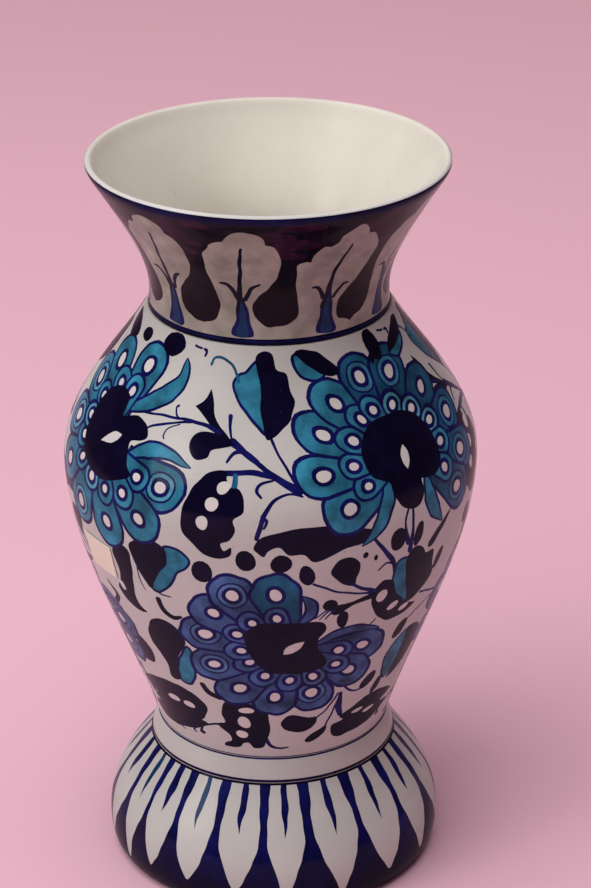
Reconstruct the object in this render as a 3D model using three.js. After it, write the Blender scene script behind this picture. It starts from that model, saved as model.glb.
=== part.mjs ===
// Painted pottery vase: flared mouth, round belly, plain collar at the waist and a bell foot.
// Millimetres, +Z up, origin at the centre of the foot ring, on the surface that it stands on.
// The three thrown sections are separate shells, joined at two rings of slip.
import * as THREE from 'three';

// ---- driving dimensions -------------------------------------------------------------
const HEIGHT = 254;             // ten-inch vase
const NECK_JOINT_Z = 205;       // navy ring between the shoulder and the neck
const BELLY_BASE_Z = 51.8;      // belly meets the plain collar
const FOOT_JOINT_Z = 43;        // collar meets the bell foot
const RIM_R = 59.8;             // outside of the lip
const NECK_R = 39.4;            // narrowest part of the neck
const BELLY_R = 69.7;           // widest part of the belly
const BELLY_WIDEST_Z = 150;
const WAIST_R = 39.9;           // foot of the belly
const COLLAR_R = 42.3;          // lower edge of the collar
const FOOT_R = 57.9;            // widest part of the foot
const FOOT_WIDEST_Z = 10.5;
const FOOT_RING_R = 54;         // outside of the flat ring that it rests on

const NECK_WALL = 4.4;
const BELLY_WALL = 5;
const FOOT_WALL = 6;
const BELLY_FLOOR = 8;          // thickness of the closed floor over the foot
const FOOT_RING_WIDTH = 6;      // flat unglazed ring under the foot
const LIP_ROUND = 1.3;          // half the thickness of the rounded lip

// Leans are degrees outward from upright, and a pull is how far a curve holds its lean.
const WAIST = { lean: 18, pull: 40 };
const BELLY_WIDEST = { pullBelow: 30, pullAbove: 21 };
const SHOULDER = { lean: -22, pull: 15 };
const NECK_FOOT = { lean: -8, pull: 14 };
const LIP = { lean: 32, pull: 25 };
const FOOT_WIDEST = { pull: 13, roundFrom: 2 };
const FOOT_TOP = { lean: -39, pull: 13 };

const JOINT_GAP = 0.3;          // between neighbouring pieces
const SLIP_HEIGHT = 1.6;        // height of the slip ring at the neck
const SLIP_BULGE = 0.5;         // how far the ring stands proud
const REBATE_DEPTH = 4;         // step that locates one section in the next
const REBATE_WIDTH = 2.6;
const SPIGOT_WALL = 5;          // foot section's collar spigot
const FLOOR_COVE = { width: 6, height: 1.6 };   // eased corner between the belly's floor and wall

const LABEL = { width: 16, height: 12, thickness: 0.25, turn: -57, z: 127.5 };

const SEGMENTS = 48;
const AROUND_LABEL = 6;
const BELLY_STEPS = 10;         // along each of the belly's two curves

// ---- shared outline -----------------------------------------------------------------
const p = (r, z) => new THREE.Vector2(r, z);

const towards = (lean, distance) => {
  const angle = THREE.MathUtils.degToRad(lean);
  return p(distance * Math.sin(angle), distance * Math.cos(angle));
};

// Curve that leaves one place at a lean and comes into the next at another.
function sweep(from, fromLean, fromPull, to, toLean, toPull) {
  return new THREE.CubicBezierCurve(from, from.clone().add(towards(fromLean, fromPull)),
    to.clone().sub(towards(toLean, toPull)), to);
}

// Belly outline, from its foot to the neck joint.
const widest = p(BELLY_R, BELLY_WIDEST_Z);
const bellyCurve = new THREE.CurvePath();
bellyCurve.add(sweep(p(WAIST_R, BELLY_BASE_Z), WAIST.lean, WAIST.pull,
  widest, 0, BELLY_WIDEST.pullBelow));
bellyCurve.add(sweep(widest, 0, BELLY_WIDEST.pullAbove,
  p(NECK_R + 0.7, NECK_JOINT_Z), SHOULDER.lean, SHOULDER.pull));

// Neck outline, from the joint to where the lip's round begins.
const lipCentre = p(RIM_R - LIP_ROUND, HEIGHT - LIP_ROUND);
const lipStart = lipCentre.clone().add(towards(LIP.lean + 90, LIP_ROUND));
const neckCurve = sweep(p(NECK_R + 0.5, NECK_JOINT_Z), NECK_FOOT.lean, NECK_FOOT.pull,
  lipStart, LIP.lean, LIP.pull);

// Foot outline, from the ground up, round its widest part, to the collar.
const footWidest = p(FOOT_R, FOOT_WIDEST_Z);
const footCurve = new THREE.CurvePath();
footCurve.add(new THREE.QuadraticBezierCurve(p(FOOT_RING_R, 0),
  p(FOOT_R, FOOT_WIDEST.roundFrom), footWidest));
footCurve.add(sweep(footWidest, 0, FOOT_WIDEST.pull,
  p(COLLAR_R, FOOT_JOINT_Z), FOOT_TOP.lean, FOOT_TOP.pull));

// Points a wall's thickness inside an outline, which may thin or thicken on its way.
function inside(curve, thickness, steps, from, to, thicknessAtEnd = thickness) {
  const points = [];
  for (let i = 0; i <= steps; i += 1) {
    const t = from + (to - from) * i / steps;
    const place = curve.getPoint(t);
    const along = curve.getTangent(t);
    const wall = thickness + (thicknessAtEnd - thickness) * i / steps;
    points.push(p(place.x - along.y * wall, place.y + along.x * wall));
  }
  return points;
}

// A solid of revolution about +Z. The outline runs anticlockwise, with r to the right.
function revolved(name, outline, colour, roughness) {
  const geometry = new THREE.LatheGeometry(outline, SEGMENTS);
  geometry.rotateX(Math.PI / 2);
  const material = new THREE.MeshStandardMaterial({ color: colour, roughness, metalness: 0 });
  const mesh = new THREE.Mesh(geometry, material);
  mesh.name = name;
  return mesh;
}

const closed = (outline) => [...outline, outline[0].clone()];

// ---- the sections -------------------------------------------------------------------
// Neck: flared mouth with a rounded lip, and a spigot that drops into the belly's rebate.
function neckSection() {
  const bottom = NECK_JOINT_Z + JOINT_GAP;
  const outer = neckCurve.getPoints(12).filter((q) => q.y > bottom + 1);
  const lipTurn = THREE.MathUtils.degToRad(LIP.lean);
  const lip = new THREE.EllipseCurve(lipCentre.x, lipCentre.y, LIP_ROUND, LIP_ROUND,
    -lipTurn, Math.PI - lipTurn, false, 0);
  const inner = inside(neckCurve, NECK_WALL, 10, 0.12, 0.96, 2 * LIP_ROUND).reverse();
  const spigotR = NECK_R - REBATE_WIDTH;
  return revolved('neck_section', closed([
    p(NECK_R + 0.4, bottom),
    ...outer,
    ...lip.getPoints(8).slice(1),
    ...inner,
    p(NECK_R - BELLY_WALL, NECK_JOINT_Z - SLIP_HEIGHT - REBATE_DEPTH + JOINT_GAP),
    p(spigotR, NECK_JOINT_Z - SLIP_HEIGHT - REBATE_DEPTH + JOINT_GAP),
    p(spigotR, bottom),
  ]), 0x1c1838, 0.15);
}

// Slip ring that shows as a raised band between the shoulder and the neck.
function neckLutingRing() {
  const low = NECK_JOINT_Z - SLIP_HEIGHT;
  const inner = NECK_R - REBATE_WIDTH + JOINT_GAP;
  const bead = new THREE.EllipseCurve(NECK_R + 0.7, low + SLIP_HEIGHT / 2,
    SLIP_BULGE, SLIP_HEIGHT / 2, -Math.PI / 2, Math.PI / 2, false, 0);
  return revolved('neck_luting_ring', closed([
    p(inner, low),
    ...bead.getPoints(6),
    p(inner, NECK_JOINT_Z),
  ]), 0x14124a, 0.15);
}

// Belly: closed floor, round wall, and a rebated top edge that takes the neck's spigot.
function bellySection() {
  const top = NECK_JOINT_Z - SLIP_HEIGHT - JOINT_GAP;
  const floorZ = BELLY_BASE_Z + BELLY_FLOOR;
  const outer = bellyCurve.getPoints(BELLY_STEPS).filter((q) => q.y < top - 1);
  const inner = inside(bellyCurve, BELLY_WALL, 14, 0.14, 0.95).reverse();
  const rebateR = NECK_R - REBATE_WIDTH + JOINT_GAP;
  return revolved('belly_section', [
    p(0, BELLY_BASE_Z),
    ...outer,
    p(NECK_R + 1.2, top),
    p(rebateR, top),
    p(rebateR, top - REBATE_DEPTH),
    p(NECK_R - BELLY_WALL, top - REBATE_DEPTH),
    ...inner.filter((q) => q.y < top - REBATE_DEPTH - 1),
    p(WAIST_R - BELLY_WALL - FLOOR_COVE.height, floorZ + FLOOR_COVE.height),
    p(WAIST_R - BELLY_WALL - FLOOR_COVE.height - FLOOR_COVE.width, floorZ),
    p(0, floorZ),
  ], 0xe6e2d2, 0.15);
}

// Plain band wrapped round the joint between the belly and the foot.
function waistCollar() {
  const low = FOOT_JOINT_Z + JOINT_GAP;
  const high = BELLY_BASE_Z - JOINT_GAP;
  const inner = WAIST_R - REBATE_WIDTH;
  const bulge = 0.35;
  return revolved('waist_collar', closed([
    p(inner, low),
    p(COLLAR_R, low),
    p((COLLAR_R * 2 + WAIST_R) / 3 + bulge, low + (high - low) / 3),
    p((COLLAR_R + WAIST_R * 2) / 3 + bulge, low + 2 * (high - low) / 3),
    p(WAIST_R, high),
    p(inner, high),
  ]), 0xe6e2d2, 0.15);
}

// Foot: hollow bell open underneath, with a flat ring to rest on and a spigot at the top.
function footSection() {
  const spigotR = WAIST_R - REBATE_WIDTH - JOINT_GAP;
  const outer = footCurve.getPoints(7);
  const inner = inside(footCurve, FOOT_WALL, 9, 0.11, 0.97).reverse();
  return revolved('foot_section', closed([
    ...outer,
    p(spigotR, FOOT_JOINT_Z),
    p(spigotR, BELLY_BASE_Z - JOINT_GAP),
    p(spigotR - SPIGOT_WALL, BELLY_BASE_Z - JOINT_GAP),
    p(spigotR - SPIGOT_WALL, FOOT_JOINT_Z - 1),
    ...inner,
    p(FOOT_RING_R - FOOT_RING_WIDTH, 0),
  ]), 0x2a2a78, 0.15);
}

// Blank paper price label, a thin patch bent to the belly.
function priceLabel() {
  const shape = [];
  const stand = JOINT_GAP;
  const radiusAt = (z) => {
    const points = bellyCurve.getPoints(BELLY_STEPS);
    const above = points.findIndex((q) => q.y >= z);
    const [a, b] = [points[above - 1], points[above]];
    return a.x + (b.x - a.x) * (z - a.y) / (b.y - a.y);
  };
  const half = LABEL.width / 2 / radiusAt(LABEL.z);
  const rows = [LABEL.z - LABEL.height / 2, LABEL.z, LABEL.z + LABEL.height / 2];
  for (const lift of [stand, stand + LABEL.thickness]) {
    for (const z of rows) {
      for (let i = 0; i <= AROUND_LABEL; i += 1) {
        const turn = THREE.MathUtils.degToRad(LABEL.turn) + half * (2 * i / AROUND_LABEL - 1);
        const r = radiusAt(z) + lift;
        shape.push(r * Math.sin(turn), -r * Math.cos(turn), z);
      }
    }
  }
  const across = AROUND_LABEL + 1;
  const layer = across * rows.length;
  const faces = [];
  const quad = (a, b, c, d) => faces.push(a, b, c, a, c, d);
  for (let row = 0; row < rows.length - 1; row += 1) {
    for (let i = 0; i < AROUND_LABEL; i += 1) {
      const a = row * across + i;
      quad(a, a + across, a + across + 1, a + 1);
      quad(a + layer, a + layer + 1, a + layer + across + 1, a + layer + across);
    }
    const left = row * across;
    const right = left + AROUND_LABEL;
    quad(left, left + layer, left + layer + across, left + across);
    quad(right, right + across, right + across + layer, right + layer);
  }
  const last = (rows.length - 1) * across;
  for (let i = 0; i < AROUND_LABEL; i += 1) {
    quad(i, i + 1, i + 1 + layer, i + layer);
    quad(last + i, last + i + layer, last + i + 1 + layer, last + i + 1);
  }
  const geometry = new THREE.BufferGeometry();
  geometry.setAttribute('position', new THREE.Float32BufferAttribute(shape, 3));
  geometry.setIndex(faces);
  geometry.computeVertexNormals();
  const material = new THREE.MeshStandardMaterial({ color: 0xe4dcc4, roughness: 0.8, metalness: 0 });
  const mesh = new THREE.Mesh(geometry, material);
  mesh.name = 'price_label';
  return mesh;
}

const vase = new THREE.Group();
vase.add(
  footSection(), waistCollar(), bellySection(), neckLutingRing(), neckSection(), priceLabel());

export default vase;
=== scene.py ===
import copy
import math
import random

import bmesh
import bpy
import numpy as np
from mathutils import Matrix, Vector
from mathutils.geometry import delaunay_2d_cdt
from mathutils.kdtree import KDTree


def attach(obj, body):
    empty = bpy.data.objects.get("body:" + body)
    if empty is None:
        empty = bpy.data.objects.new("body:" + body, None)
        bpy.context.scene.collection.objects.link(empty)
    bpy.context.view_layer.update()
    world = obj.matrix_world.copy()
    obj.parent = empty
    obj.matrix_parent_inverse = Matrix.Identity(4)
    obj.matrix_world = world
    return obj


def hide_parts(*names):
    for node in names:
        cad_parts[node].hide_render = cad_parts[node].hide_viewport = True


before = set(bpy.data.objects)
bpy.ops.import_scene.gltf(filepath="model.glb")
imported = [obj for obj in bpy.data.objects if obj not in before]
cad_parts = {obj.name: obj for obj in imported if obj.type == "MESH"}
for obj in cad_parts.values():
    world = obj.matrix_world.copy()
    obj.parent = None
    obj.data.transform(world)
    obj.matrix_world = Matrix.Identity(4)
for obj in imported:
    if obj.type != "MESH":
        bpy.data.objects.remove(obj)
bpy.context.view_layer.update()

MM = 0.001

# ---- driving values -------------------------------------------------------------------
LENS = 121.6                 # millimetres on a 36 mm sensor
CAMERA_AT = (0.0084, -0.9216, 0.5728)
CAMERA_DOWN = 24.62          # degrees below the horizon
CAMERA_ROLL = 0.25

# Soft lamps: place and width in metres, power in watts, and whether the glaze mirrors them
LAMPS = {
    "room": ((0.0, 0.0, 2.4), 2.4, 30, False),
    "key": ((-1.0, -0.8, 2.0), 2.6, 33, False),
    "window": ((-1.5, -0.9, 0.9), 0.8, 6, True),
}
LAMPS_AIM = (0, 0, 0.12)
AIR = (0.62, 0.39, 0.46, 1)  # light from all round, tinted by the floor
AIR_STRENGTH = 0.25
FLOOR = (0.84, 0.50, 0.60, 1)
FLOOR_SIZE = 12              # metres

CORNER = 35                  # degrees: an outline that turns more than this has an edge there
OUTLINE_STEP = 1.6           # millimetres between the rings of a shell
SPOKES = 360                 # faces round a shell
SKIN_STEP = 2.4              # millimetres between the filling points of a painted skin
MARGIN = 0.05                # brush marks end this far inside a skin's edges
JOINT = 0.3                  # millimetres between two sections
CLAY_BELOW = 1.0             # millimetres: the foot's ring is unglazed up to here
WELD = 0.015                 # millimetres within which two corners are one
WANDER = 0.22                # millimetres that the painter's hand strays
LABEL_EDGE = 0.06            # millimetres of softening on the paper's edges

# Fired paints: sRGB colour, and how far the wash varies
PAINTS = {
    "ivory": ((192, 195, 190), 0.0),
    "white": ((206, 206, 202), 0.0),
    # lit cream: the inside and hidden faces, lighter than the ivory outside; partly a warmer glaze,
    # partly painted light on the inside wall
    "lit cream": ((216, 211, 200), 0.0),
    # shaded stone: the grey of the neck leaves, partly a grey wash and partly painted shade under
    # the flared mouth
    "shaded stone": ((152, 152, 140), 0.6),
    "turquoise": ((43, 114, 140), 1.2),
    "turquoise pale": ((80, 150, 170), 1.2),
    "denim": ((56, 82, 124), 1.4),
    "denim pale": ((76, 108, 146), 1.3),
    "teal": ((28, 82, 112), 1.2),
    "teal pale": ((50, 114, 138), 1.2),
    "deep teal": ((18, 52, 92), 1.0),
    "cobalt": ((15, 18, 82), 1.2),
    "navy": ((8, 6, 34), 1.0),
    "night": ((14, 4, 17), 2.2),
    # painted reflection: this plum stands for the pink floor mirrored in the glaze under the neck's
    # lip
    "pink reflection": ((42, 14, 37), 1.6),
}


# ---- outlines, read from the frame ------------------------------------------------------
def cross_section(node):
    """A CAD node's cross-section beyond +X: (radius, height) in mm, up its outside first."""
    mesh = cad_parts[node].data
    near = {}
    for edge in mesh.edges:
        ends = [mesh.vertices[i].co / MM for i in edge.vertices]
        if all(abs(p.y) < 0.001 and p.x > -0.001 for p in ends):
            a, b = ((round(p.x, 3), round(p.z, 3)) for p in ends)
            near.setdefault(a, set()).add(b)
            near.setdefault(b, set()).add(a)
    here = min(near, key=lambda p: (len(near[p]), p[1], -p[0]))
    path = [here]
    while True:
        ahead = [p for p in near[here] if p not in path]
        if not ahead:
            return np.array(path), len(near[path[0]]) == 2
        here = max(ahead)
        path.append(here)


def spline(knots, step):
    """Natural cubic spline through the knots, by chord length: places and outward normals."""
    if len(knots) == 2:
        way = (knots[1] - knots[0]) / np.linalg.norm(knots[1] - knots[0])
        return knots, np.tile([way[1], -way[0]], (2, 1))
    t = np.concatenate([[0], np.cumsum(np.linalg.norm(np.diff(knots, axis=0), axis=1))])
    gap = np.diff(t)
    slope = np.diff(knots, axis=0) / gap[:, None]
    count = len(knots)
    system = np.eye(count)
    right = np.zeros((count, 2))
    for i in range(1, count - 1):
        system[i, i - 1:i + 2] = gap[i - 1], 2 * (gap[i - 1] + gap[i]), gap[i]
        right[i] = 6 * (slope[i] - slope[i - 1])
    bend = np.linalg.solve(system, right)
    at = np.linspace(0, t[-1], max(3, int(round(t[-1] / step)) + 1))
    i = np.clip(np.searchsorted(t, at, side="right") - 1, 0, count - 2)
    u, h = (at - t[i])[:, None], gap[i][:, None]
    first = slope[i] - h * (2 * bend[i] + bend[i + 1]) / 6
    rise = (bend[i + 1] - bend[i]) / h
    places = knots[i] + u * (first + u * (bend[i] / 2 + u * rise / 6))
    way = first + u * (bend[i] + u * rise / 2)
    way /= np.linalg.norm(way, axis=1)[:, None]
    return places, np.column_stack((way[:, 1], -way[:, 0]))


def outline(node):
    """(outside, the other runs) of a node's cross-section, as smooth runs between its edges."""
    points, closed = cross_section(node)
    if closed:
        points = np.vstack((points, points[:1]))
    ways = np.diff(points, axis=0)
    heading = np.degrees(np.arctan2(ways[:, 1], ways[:, 0]))
    turns = (np.diff(heading) + 180) % 360 - 180
    edges = [0] + [i + 1 for i, turn in enumerate(turns) if abs(turn) > CORNER] + [len(points) - 1]
    runs = [spline(points[a:b + 1], OUTLINE_STEP) for a, b in zip(edges[:-1], edges[1:])]
    widest = max(range(len(runs)), key=lambda i: runs[i][0][:, 0].max())
    places, normals = runs[widest]
    top = int(places[:, 1].argmax())
    outside = (places[:top + 1], normals[:top + 1])
    others = runs[:widest] + runs[widest + 1:]
    if top < len(places) - 1:
        others.append((places[top:], normals[top:]))
    return outside, others


# ---- the painter's alphabet -----------------------------------------------------------
# The outside of the vase is painted unrolled: a place is (degrees round the axis, millimetres
# up the wall from the table), 0 degrees faces -Y. Motifs are drawn in flat millimetres.


def smooth(points, steps=5, closed=False):
    """Catmull-Rom curve through a few points; a point given twice is a corner."""
    knots = np.array(points, float)
    count = len(knots)
    spans = count if closed else count - 1
    curve = []
    for i in range(spans):
        if closed:
            a, b, c, d = (knots[(i + k) % count] for k in (-1, 0, 1, 2))
        else:
            a, b, c, d = (knots[min(max(i + k, 0), count - 1)] for k in (-1, 0, 1, 2))
        if np.allclose(b, c):
            continue
        for t in np.arange(steps) / steps:
            curve.append(b + 0.5 * t * (c - a + t * (2 * a - 5 * b + 4 * c - d
                                                     + t * (3 * (b - c) + d - a))))
    if not closed:
        curve.append(knots[-1])
    return np.array(curve)


def oval(across, up, steps=16, tilt=0.0):
    """Ellipse of two half-widths about the origin."""
    t = np.arange(steps) * 2 * math.pi / steps
    return turned(np.column_stack((across * np.cos(t), up * np.sin(t))), tilt)


def turned(points, degrees):
    """Points turned anticlockwise about the origin."""
    a = math.radians(degrees)
    return points @ np.array([[math.cos(a), math.sin(a)], [-math.sin(a), math.cos(a)]])


def stroke(path, widths):
    """Brush stroke along a smooth path, with its full width at each point of the path."""
    line = smooth(path)
    half = np.interp(np.linspace(0, 1, len(line)), np.linspace(0, 1, len(widths)), widths) / 2
    along = np.gradient(line, axis=0)
    along /= np.linalg.norm(along, axis=1)[:, None] + 1e-9
    side = np.column_stack((-along[:, 1], along[:, 0])) * half[:, None]
    left, right = line + side, line - side
    caps = []
    for end, way, w in ((line[-1], along[-1], half[-1]), (line[0], -along[0], half[0])):
        turn = np.radians([60, 30, 0, -30, -60])
        out = np.column_stack((-way[1] * np.sin(turn) + way[0] * np.cos(turn),
                               way[0] * np.sin(turn) + way[1] * np.cos(turn)))
        caps.append(end + out * w)
    return np.vstack((left, caps[0], right[::-1], caps[1]))


def lobe(length, width, base=0.5, steps=11, bumps=0):
    """Petal along +X from the origin: narrow base, round or scalloped end."""
    reach = min(width * 0.5, length * 0.5)
    t = np.linspace(-1.75, 1.75, steps + 4 * bumps)
    edge = 1 + (0.045 * np.abs(np.sin(t * (bumps + 1))) if bumps else 0)
    end = np.column_stack((length - reach + reach * np.cos(t) * edge, width / 2 * np.sin(t) * edge))
    return np.vstack(([0, -width / 2 * base], end, [0, width / 2 * base]))


class Wall:
    """The unrolled outside of one section, and the areas of paint laid on it in turn."""

    def __init__(self, radius_at, low, high, seed):
        self.radius_at, self.low, self.high = radius_at, low, high
        self.turn = 0.0
        self.areas = []
        self.hand = random.Random(seed)
        self.phase = [self.hand.uniform(0, 6.3) for _ in range(6)]

    def turned_by(self, turn):
        """The same wall, with what is painted through it moved round by some degrees."""
        there = copy.copy(self)
        there.turn = turn
        return there

    def place(self, at, flat):
        """Flat millimetres about a place, laid on the wall."""
        up = at[1] + flat[:, 1]
        across = np.degrees(flat[:, 0] / self.radius_at(np.clip(up, self.low, self.high)))
        return np.column_stack((at[0] + self.turn + across, up))

    def flatten(self, at, places):
        places = np.array(places, float)
        r = self.radius_at(np.clip(places[:, 1], self.low, self.high))
        return np.column_stack((np.radians(places[:, 0] - at[0]) * r, places[:, 1] - at[1]))

    def waver(self, points):
        """The unsteady hand: a slow wander of a few tenths of a millimetre."""
        x, y, p, sin = np.radians(points[:, 0]) * 60, points[:, 1], self.phase, np.sin
        dx = sin(y / 2.9 + p[0]) * sin(x / 4.1 + p[1]) + 0.6 * sin(y / 1.3 + x / 1.7 + p[2])
        dy = sin(x / 3.1 + p[3]) * sin(y / 4.7 + p[4]) + 0.6 * sin(x / 1.4 - y / 1.9 + p[5])
        r = self.radius_at(np.clip(y, self.low, self.high))
        return points + WANDER * np.column_stack((np.degrees(dx / r), dy))

    def lay(self, at, flat, paint, fade=None):
        """One area of paint. fade = (from point, to point, tone at each), in flat millimetres."""
        places = self.waver(self.place(at, np.asarray(flat, float)))
        if fade:
            ends = self.place(at, np.array(fade[:2], float))
            fade = (ends[0], ends[1], fade[2], fade[3])
        tone = 1 + self.hand.uniform(-0.07, 0.07)
        self.areas.append((places, paint, tone, fade))

    def band(self, low, high, paint, tone=1.0, fade=None):
        """A band right round the wall."""
        turns = np.arange(-200, 561, 4.0)
        edge = np.vstack((np.column_stack((turns, np.full(len(turns), low))),
                          np.column_stack((turns[::-1], np.full(len(turns), high)))))
        self.areas.append((edge, paint, tone, fade))

    def blot(self, places, paint="navy", edge=None, rim=0.9):
        """Closed outline through places on the wall, with an edge line in a darker paint."""
        places = np.array(places, float)
        at = places.mean(axis=0)
        outline = smooth(self.flatten(at, places), 4, closed=True)
        if edge:
            self.lay(at, grown(outline, rim * 0.5), edge)
            outline = grown(outline, -rim * 0.5)
        self.lay(at, outline, paint)

    def line(self, places, widths, paint="cobalt"):
        """Brush line through places on the wall."""
        places = np.array(places, float)
        at = places.mean(axis=0)
        self.lay(at, stroke(self.flatten(at, places), widths), paint)

    def spot(self, place, across, up, tilt=0.0, paint="navy"):
        """Oval dab of two half-widths."""
        self.lay(place, oval(across, up, 14, tilt), paint)


def grown(outline, by):
    """Closed outline moved outward by a distance (inward if negative)."""
    way = np.roll(outline, -1, axis=0) - np.roll(outline, 1, axis=0)
    way /= np.linalg.norm(way, axis=1)[:, None] + 1e-9
    x, y = outline.T
    area = np.sum(x * np.roll(y, -1) - np.roll(x, -1) * y)
    return outline + np.column_stack((way[:, 1], -way[:, 0])) * by * (1 if area > 0 else -1)


# ---- motifs ---------------------------------------------------------------------------
def about(centre, places):
    """Places given from a centre, as places on the wall."""
    return [(centre[0] + t, centre[1] + h) for t, h in places]


def petal(wall, centre, egg, size, cap, width, wash, bumps=0, ring=False):
    """Petal that runs out from a flower's centre round a white egg, and ends in a scallop."""
    flat = wall.flatten(centre, about(centre, [egg]))[0]
    far, angle = math.hypot(*flat), math.degrees(math.atan2(flat[1], flat[0]))
    start = far * 0.35

    def out(points, along=0.0):
        return turned(points + np.array([along, 0]), angle)

    line = 1.25 if width > 12 else 1.05
    length = far + cap - start
    ends = turned(np.array([[start, 0], [far + cap, 0]]), angle)
    wall.lay(centre, out(lobe(length, width, 0.55, 13, bumps), start), "cobalt")
    wall.lay(centre, out(lobe(length - line, width - 2 * line, 0.5, 13, bumps), start), wash,
             (ends[0], ends[1], 0.42, 1.26))
    if ring:
        wall.lay(centre, out(oval(size + 3.3, size + 2.9, 16), far), "cobalt")
        wall.lay(centre, out(oval(size + 2.6, size + 2.2, 16), far), wash + " pale")
    wall.lay(centre, out(oval(size + 1.45, size * 0.86 + 1.35, 14), far), "cobalt")
    wall.lay(centre, out(oval(size, size * 0.84, 12), far), "white")


def big_flower(wall, centre, flower):
    """Two rings of petals round a navy heart with a white almond, open where its blades spread."""
    hand, wash = wall.hand, flower["wash"]
    for i, egg in enumerate(flower["outer"]):
        petal(wall, centre, egg, hand.uniform(2.1, 2.5), hand.uniform(8.6, 10.2),
              hand.uniform(15.5, 17.5), flower["other washes and shade"].get(i, wash), flower["bumps"],
              hand.random() < 0.5)
    for spine, widths in flower["blades"]:
        spine, widths = about(centre, spine), np.array(widths)
        wall.line(spine, widths)
        wall.line(spine, np.maximum(widths - 1.9, 0.05), wash)
    for egg in flower["inner"]:
        petal(wall, centre, egg, hand.uniform(1.5, 1.8), hand.uniform(5.4, 6.4),
              hand.uniform(9.2, 10.4), wash, 0, hand.random() < 0.35)
    wall.blot(about(centre, flower["heart"]))
    wall.blot(about(centre, flower["almond"]), "white")


# Flowers, each place given as (degrees, millimetres) from the flower's centre. Some outer petals
# take another wash, by their place in the list; on the ripe flower the teal of the upper and right
# petals is partly a teal wash and partly painted shade.
OPEN_FLOWER = {
    "wash": "turquoise", "other washes and shade": {}, "bumps": 0,
    "outer": [(24, -9), (17.5, -21.5), (5, -27.5), (-8.5, -26), (-18, -15.5), (-23, -2),
              (-24, 12.5), (-17, 22.5), (1.5, 26.5)],
    "inner": [(15.5, -8), (11.5, -15), (4.5, -16), (-2.5, -14.5), (-9.5, -11), (-12.8, -4.5),
              (-14.3, 2), (-13.5, 10), (-8, 17), (0, 17)],
    "heart": [(-3.5, 16.5), (-9, 15.5), (-13, 12), (-14, 7), (-13.5, 1), (-12, -5), (-9, -9),
              (-5, -12), (1, -13.5), (8, -12), (13, -8.5), (11.3, -6), (10.2, -2), (9.5, 2),
              (13, 3.5), (15, 5.5), (13, 8.8), (8, 10.5), (2.3, 8.8), (1.8, 11), (0.5, 15)],
    "almond": [(-3, -2.4), (-3, -2.4), (-1, 0.6), (2, 2.6), (5, 2.9), (5, 2.9), (4, 0.5),
               (1, -1.7)],
    "blades": [([(2, 12), (9, 15), (16.5, 21), (20.5, 27), (19, 33.3)], [3, 6.5, 7.5, 5, 0.8]),
               ([(10, -2.2), (17, 1.5), (24, 2), (32, -0.8)], [2.5, 6.8, 4.8, 0.6])],
}
RIPE_FLOWER = {
    # teal on the upper and right outer petals: partly a teal wash, partly painted shade
    "wash": "turquoise", "other washes and shade": dict.fromkeys(range(4, 10), "teal"), "bumps": 0,
    "outer": [(-20, -13), (-26.5, -1.5), (-24.5, 11.5), (-18, 21), (-5, 27.5), (9.5, 26), (21, 16),
              (27, 4), (25.5, -9), (19.5, -19.5)],
    "inner": [(-14, -7), (-17, 0), (-15.5, 8), (-10.5, 14), (-5, 16.2), (3.5, 15.5), (10.5, 11.8),
              (16, 5.5), (16.5, -2.5), (14.5, -10.5)],
    "heart": [(-12, -4.5), (-13.6, 0), (-13.3, 6), (-11, 10), (-7, 12.6), (0, 13.6), (7, 12.4),
              (11.5, 9), (14, 4), (14.5, -2), (13.5, -7.5), (11, -10.5), (7, -11), (4.2, -10.4),
              (4.2, -14), (2.6, -17.8), (-0.6, -18.8), (-4, -16.8), (-6.3, -12.5), (-7, -8),
              (-9.5, -6.5)],
    "almond": [(0.6, 2.6), (0.6, 2.6), (1.8, 0), (1.5, -3), (0.2, -5.6), (0.2, -5.6), (-1, -3.5),
               (-1.2, -0.5)],
    "blades": [([(-7.5, -5.5), (-8.5, -13), (-11.5, -21), (-16.5, -27)], [4, 6.2, 5.4, 0.8]),
               ([(6, -10.5), (6.5, -17), (8.5, -23), (12, -28.4)], [3, 6.6, 6, 0.8])],
}
LOW_FLOWER = {
    "wash": "denim", "other washes and shade": {9: "teal"}, "bumps": 2,
    "outer": [(24, -3.5), (20.5, -14.5), (7.5, -23), (-6, -24), (-19, -20), (-27, -9), (-28, 5.5),
              (-24, 16), (-18, 24.5), (-6, 25.5)],
    "inner": [(15, -3), (15, -10), (7.5, -14.5), (-1, -15.5), (-9.5, -13), (-14.5, -6.5),
              (-17, -0.7), (-17.5, 7.3), (-13, 13), (-5.5, 15)],
    "heart": [(-15, 2), (-15.5, 7), (-13, 11), (-9, 13), (-2.5, 12.5), (4.5, 12.7), (8.5, 11.3),
              (9.7, 7.5), (7.5, 4), (8, -1.5), (11.5, -8), (8.5, -11.5), (0.5, -12.4),
              (-7.5, -11.2), (-11.5, -8), (-14.5, -3)],
    "almond": [(-3.4, -2.2), (-3.4, -2.2), (-2.5, 1), (0, 2.8), (3.1, 3.6), (3.1, 3.6), (1.5, 0),
               (-0.7, -1.8)],
    "blades": [([(1, 11.5), (4, 16), (4.2, 20), (1.6, 24.2)], [2, 5, 5, 0.8]),
               ([(8, 2), (14, 5.2), (21, 5.6), (28.5, 3)], [3, 4.6, 4.4, 0.8])],
}


def leaf(wall, light, dark):
    """Leaf with a turquoise half and a navy half."""
    wall.blot(light, "turquoise", "cobalt", 1.0)
    wall.blot(dark)


def pod(wall, body, eggs):
    """Navy pod with a row of white eggs: (degrees, height, across, up, tilt)."""
    wall.blot(body)
    for t, h, across, up, tilt in eggs:
        wall.spot((t, h), across, up, tilt, "white")


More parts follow.
